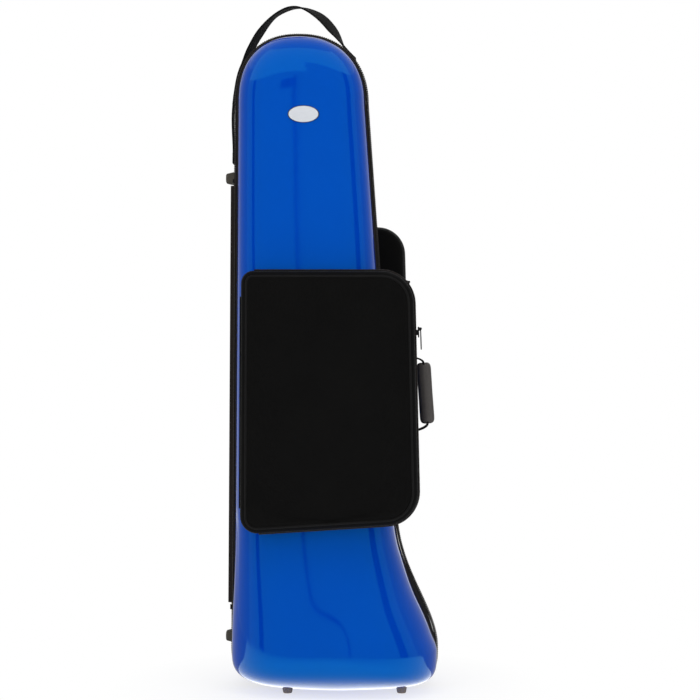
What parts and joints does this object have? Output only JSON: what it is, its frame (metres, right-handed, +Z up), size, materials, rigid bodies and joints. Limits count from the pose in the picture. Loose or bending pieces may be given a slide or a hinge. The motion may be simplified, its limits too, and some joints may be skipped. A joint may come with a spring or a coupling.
{
  "type": "trombone case",
  "caption": "Contoured hard case for a slide brass instrument: glossy moulded shells that zip together, flared at the bell end, with outer pockets, webbing loop, side handle and rubber feet",
  "frame": {"origin": "under the middle of the case, on the floor that its four bottom feet stand on", "axes": "+Z up along the case from its bell end to the webbing loop, +Y from the lid towards the back shell, +X from the hinge side towards the side handle"},
  "size_m": [0.305, 0.2558, 0.9751],
  "materials": {
    "gelcoat": "high gloss blue gelcoat over moulded fibre",
    "edge_trim": "soft black edging",
    "zip_coil": "black nylon coil on tape",
    "nylon": "tight black nylon weave",
    "webbing": "ribbed black webbing",
    "plush": "short-pile plush",
    "foot_rubber": "matte grey-brown rubber",
    "dark_metal": "black plated die-cast",
    "grip": "grained, stitched leatherette",
    "badge_metal": "bare satin plate with a dark border"
  },
  "bodies": {
    "case": {"back_shell": "gelcoat", "back_edge_binding": "edge_trim", "back_flare_binding": "edge_trim", "back_zip_half": "zip_coil", "back_hinge_leaf": "nylon", "hinge_bead": "nylon", "zip_stop_low": "dark_metal", "zip_stop_high": "dark_metal", "back_bottom_foot_left": "foot_rubber", "back_bottom_foot_right": "foot_rubber", "back_side_foot_high": "foot_rubber", "back_side_foot_low": "foot_rubber", "back_insert": "plush", "back_insert_bell": "plush", "back_insert_head": "plush", "bell_strap": "webbing", "accessory_lid_panel": "plush", "accessory_lid_tab": "webbing", "back_pocket_body": "nylon", "back_pocket_zip_inner": "zip_coil", "carry_webbing": "webbing", "web_base_tail": "foot_rubber", "web_base_left": "foot_rubber", "web_base_right": "foot_rubber", "handle_anchor_high": "dark_metal", "handle_anchor_low": "dark_metal", "handle_pad_high": "foot_rubber", "handle_pad_low": "foot_rubber"},
    "lid": {"front_shell": "gelcoat", "front_edge_binding": "edge_trim", "front_flare_binding": "edge_trim", "front_zip_half": "zip_coil", "front_hinge_leaf": "nylon", "front_bottom_foot_left": "foot_rubber", "front_bottom_foot_right": "foot_rubber", "front_insert": "plush", "front_insert_bell": "plush", "slide_strap_high": "webbing", "slide_strap_low": "webbing", "badge": "badge_metal", "front_pocket_body": "nylon", "front_pocket_zip_inner": "zip_coil"},
    "front_panel": {"front_pocket_panel": "nylon", "front_pocket_zip_outer": "zip_coil", "front_pocket_piping": "edge_trim"},
    "back_panel": {"back_pocket_panel": "nylon", "back_pocket_zip_outer": "zip_coil", "back_pocket_piping": "edge_trim"},
    "front_runner": {"front_pocket_slider": "dark_metal"},
    "front_pull": {"front_pocket_pull": "dark_metal"},
    "back_runner": {"back_pocket_slider": "dark_metal"},
    "back_pull": {"back_pocket_pull": "dark_metal"},
    "low_runner": {"main_slider_low": "dark_metal"},
    "low_pull": {"main_pull_low": "dark_metal"},
    "high_runner": {"main_slider_high": "dark_metal"},
    "high_pull": {"main_pull_high": "dark_metal"},
    "side_handle": {"handle_webbing": "webbing", "handle_grip": "grip", "handle_link_high": "dark_metal", "handle_link_low": "dark_metal"}
  },
  "joints": [
    {"name": "lid_hinge", "type": "hinge", "parent": "case", "child": "lid", "pos_m": [-0.1443, 0.00276, 0.4155], "axis": [-0.006, 0, -1], "range_deg": [0, 115]},
    {"name": "front_panel_hinge", "type": "hinge", "parent": "lid", "child": "front_panel", "pos_m": [-0.12677, -0.09029, 0.407], "axis": [0, -0.0718, -0.9974], "range_deg": [0, 100]},
    {"name": "back_panel_hinge", "type": "hinge", "parent": "case", "child": "back_panel", "pos_m": [-0.12677, 0.09064, 0.4805], "axis": [0, -0.0718, 0.9974], "range_deg": [0, 100]},
    {"name": "low_zip_travel", "type": "slide", "parent": "case", "child": "low_runner", "axis": [-0.0698, 0, 0.9976], "range_m": [-0.03, 0.07]},
    {"name": "low_pull_hinge", "type": "hinge", "parent": "low_runner", "child": "low_pull", "pos_m": [0.09168, 0.00276, 0.35553], "axis": [0, -1, 0], "range_deg": [0, 150]},
    {"name": "high_zip_travel", "type": "slide", "parent": "case", "child": "high_runner", "axis": [-0.0698, 0, 0.9976], "range_m": [-0.03, 0.22]},
    {"name": "high_pull_hinge", "type": "hinge", "parent": "high_runner", "child": "high_pull", "pos_m": [0.07803, 0.00276, 0.55053], "axis": [0, -1, 0], "range_deg": [0, 150]},
    {"name": "front_zip_travel", "type": "slide", "parent": "lid", "child": "front_runner", "axis": [-0.03, 0.0718, 0.997], "range_m": [-0.226, 0.042]},
    {"name": "front_pull_hinge", "type": "hinge", "parent": "front_runner", "child": "front_pull", "pos_m": [0.12406, -0.08304, 0.50771], "axis": [0, -0.9974, 0.0718], "range_deg": [0, 150]},
    {"name": "back_zip_travel", "type": "slide", "parent": "case", "child": "back_runner", "axis": [-0.03, -0.0718, 0.997], "range_m": [-0.219, 0.036]},
    {"name": "back_pull_hinge", "type": "hinge", "parent": "back_runner", "child": "back_pull", "pos_m": [0.11363, 0.08356, 0.57883], "axis": [0, -0.9974, -0.0718], "range_deg": [0, 150]},
    {"name": "side_handle_swing", "type": "hinge", "parent": "case", "child": "side_handle", "pos_m": [0.08512, 0.03176, 0.41277], "axis": [-0.0698, 0, 0.9976], "range_deg": [-30, 25]}
  ]
}
